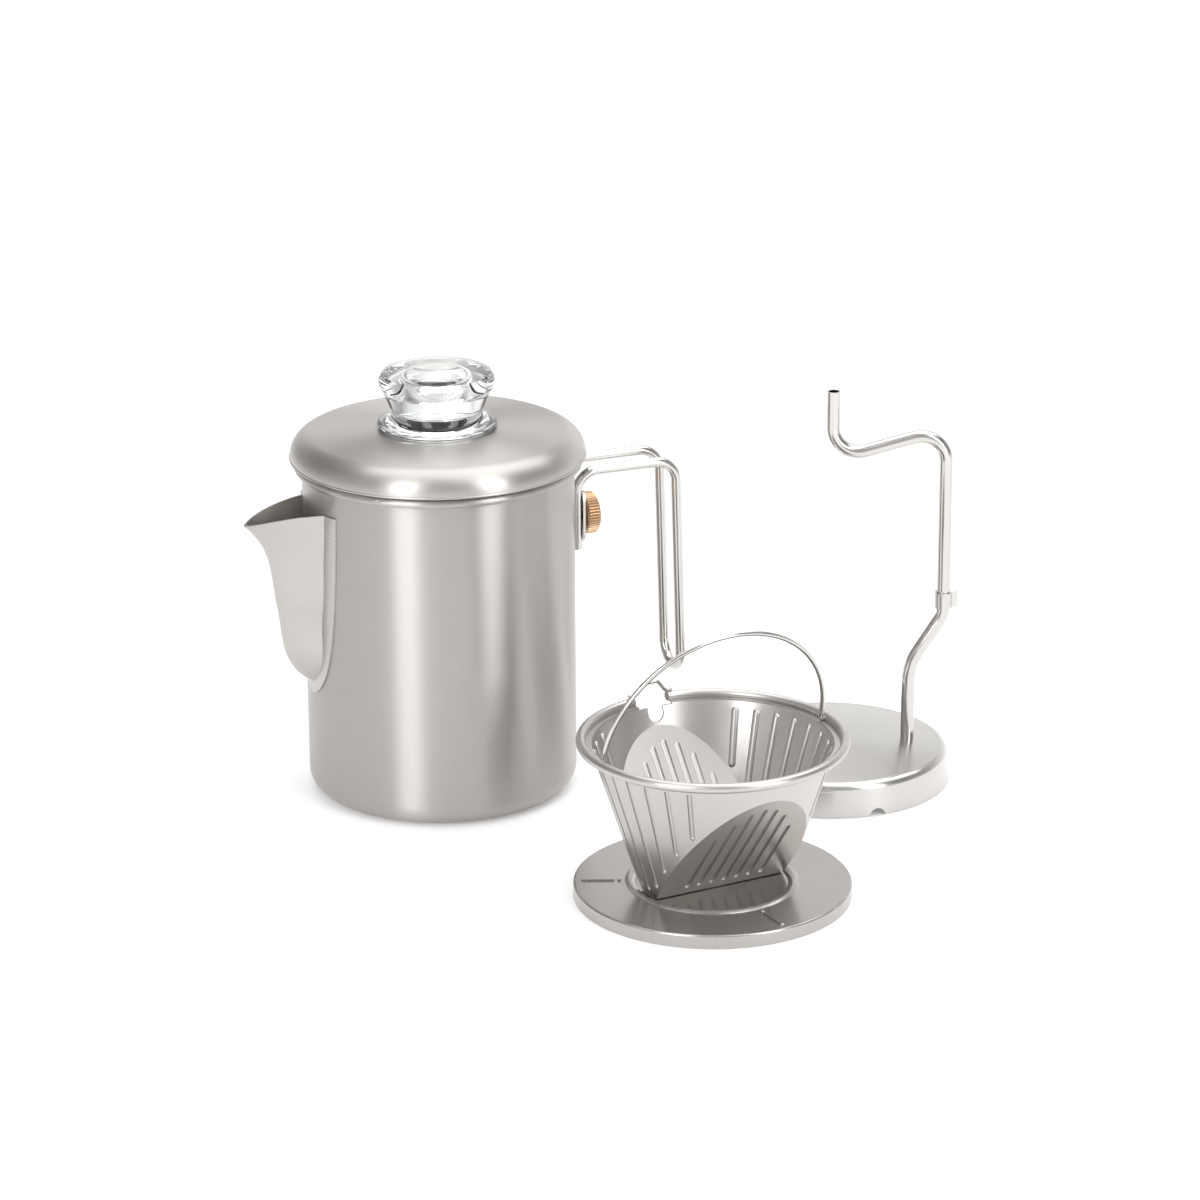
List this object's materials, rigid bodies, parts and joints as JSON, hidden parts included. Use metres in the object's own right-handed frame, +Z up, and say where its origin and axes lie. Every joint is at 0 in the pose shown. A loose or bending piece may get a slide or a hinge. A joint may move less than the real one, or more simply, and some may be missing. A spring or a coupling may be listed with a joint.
{
  "type": "camping coffee percolator",
  "caption": "Stainless camping percolator: lidded pot with spout and wire handle, glass knob, cone basket on its drip plate, and a pump base with a cranked tube.",
  "frame": {"origin": "centre of the pot's foot, on the surface it stands on", "axes": "+Z up, +X from the pot's axis towards the handle, -X towards the spout, +Y away from the basket"},
  "size_m": [0.281, 0.2667, 0.1764],
  "materials": {
    "pot_steel": "satin, brushed round the pot",
    "lid_steel": "satin, spun",
    "ring_steel": "plain drawn sheet",
    "wire_steel": "polished wire",
    "clamp_steel": "tumbled sheet",
    "screw_brass": "turned and knurled",
    "knob_glass": "clear pressed glass",
    "plate_steel": "fine brushed",
    "basket_steel": "half polished",
    "bail_steel": "polished wire",
    "base_steel": "half polished",
    "tube_steel": "polished tube"
  },
  "bodies": {
    "pot": {"pot_body": "pot_steel", "spout": "pot_steel", "screw_boss": "wire_steel", "handle_wire": "wire_steel"},
    "clamp": {"clamp_plate": "clamp_steel"},
    "screw": {"thumb_screw": "screw_brass"},
    "lid": {"lid_shell": "lid_steel", "lid_ring": "ring_steel"},
    "knob": {"glass_knob": "knob_glass"},
    "plate": {"drip_plate": "plate_steel"},
    "basket": {"basket_body": "basket_steel", "tube_keeper": "bail_steel"},
    "bail": {"basket_bail": "bail_steel"},
    "pump": {"pump_base": "base_steel", "pump_tube": "tube_steel", "tube_clip": "clamp_steel"}
  },
  "joints": [
    {"name": "lid_lift", "type": "slide", "parent": "pot", "child": "lid", "axis": [0, 0, 1], "range_m": [0, 0.06]},
    {"name": "knob_turn", "type": "hinge", "parent": "lid", "child": "knob", "pos_m": [0, 0, 0.152], "axis": [0, 0, 1], "range_deg": [0, 90]},
    {"name": "clamp_slide", "type": "slide", "parent": "pot", "child": "clamp", "axis": [1, 0, 0], "range_m": [0, 0.003]},
    {"name": "screw_turn", "type": "hinge", "parent": "clamp", "child": "screw", "pos_m": [0.06, 0, 0.1073], "axis": [1, 0, 0], "range_deg": [0, 1350]},
    {"name": "plate_lift", "type": "slide", "parent": "pot", "child": "plate", "axis": [0, 0, 1], "range_m": [0, 0.05]},
    {"name": "basket_lift", "type": "slide", "parent": "plate", "child": "basket", "axis": [0, 0, 1], "range_m": [0, 0.08]},
    {"name": "bail_swing", "type": "hinge", "parent": "basket", "child": "bail", "pos_m": [0.0548, -0.153, 0.06342], "axis": [0.9945, 0.1045, 0], "range_deg": [-95, 62]},
    {"name": "pump_lift", "type": "slide", "parent": "pot", "child": "pump", "axis": [0, 0, 1], "range_m": [0, 0.05]}
  ],
  "couplings": [
    {"joint": "clamp_slide", "follows": "screw_turn", "m_per_rad": 0.00012732}
  ]
}
